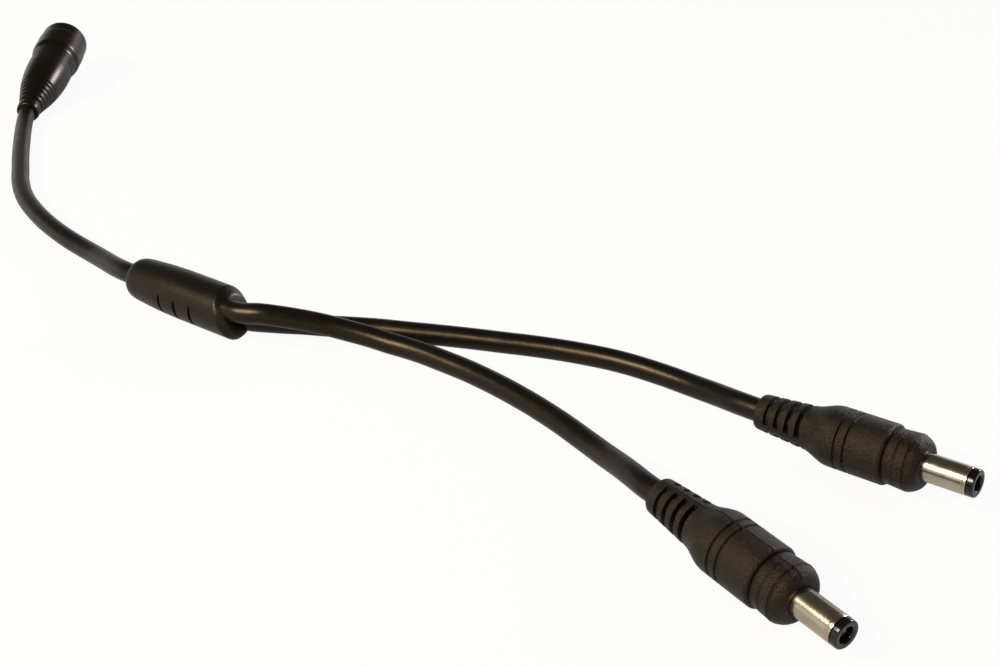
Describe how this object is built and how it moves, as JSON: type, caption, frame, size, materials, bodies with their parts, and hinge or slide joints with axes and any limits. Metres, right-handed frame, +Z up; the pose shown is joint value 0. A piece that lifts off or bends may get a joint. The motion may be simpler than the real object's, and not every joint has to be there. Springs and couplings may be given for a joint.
{
  "type": "dc power splitter cable",
  "caption": "Black power splitter cable: an input lead with a barrel socket, a moulded junction sleeve and two legs that end in straight barrel plugs",
  "frame": {"origin": "under the middle of the junction sleeve, on the surface that it lies on, halfway along its length and in line with its axis", "axes": "+X along the sleeve from the input cable to the two legs, +Y across it to the side on which the legs bend, +Z up from the surface"},
  "size_m": [0.341, 0.1251, 0.0184],
  "materials": {
    "jacket_pvc": "smooth satin black cable jacket",
    "moulded_pvc": "fine spark-eroded black moulding",
    "nickel_plate": "pale warm nickel plating on brass",
    "black_insulator": "glossy black plastic",
    "contact_metal": "plated spring metal",
    "red_insulation": "smooth red wire insulation",
    "black_insulation": "smooth black wire insulation",
    "splice_metal": "tinned crimp ferrule"
  },
  "bodies": {
    "root": {"y_sleeve": "moulded_pvc", "positive_splice": "splice_metal", "negative_splice": "splice_metal", "input_positive_core": "red_insulation", "input_negative_core": "black_insulation", "front_positive_core": "red_insulation", "front_negative_core": "black_insulation", "rear_positive_core": "red_insulation", "rear_negative_core": "black_insulation", "input_cable": "jacket_pvc", "front_leg_cable": "jacket_pvc", "rear_leg_cable": "jacket_pvc", "front_plug_overmould": "moulded_pvc", "front_plug_barrel": "nickel_plate", "front_plug_insulator": "black_insulator", "front_plug_centre_contact": "contact_metal", "front_plug_positive_core": "red_insulation", "front_plug_negative_core": "black_insulation", "rear_plug_overmould": "moulded_pvc", "rear_plug_barrel": "nickel_plate", "rear_plug_insulator": "black_insulator", "rear_plug_centre_contact": "contact_metal", "rear_plug_positive_core": "red_insulation", "rear_plug_negative_core": "black_insulation", "socket_overmould": "moulded_pvc", "socket_housing": "black_insulator", "socket_centre_pin": "nickel_plate", "socket_spring_contact": "contact_metal", "socket_positive_core": "red_insulation", "socket_negative_core": "black_insulation"}
  },
  "joints": []
}
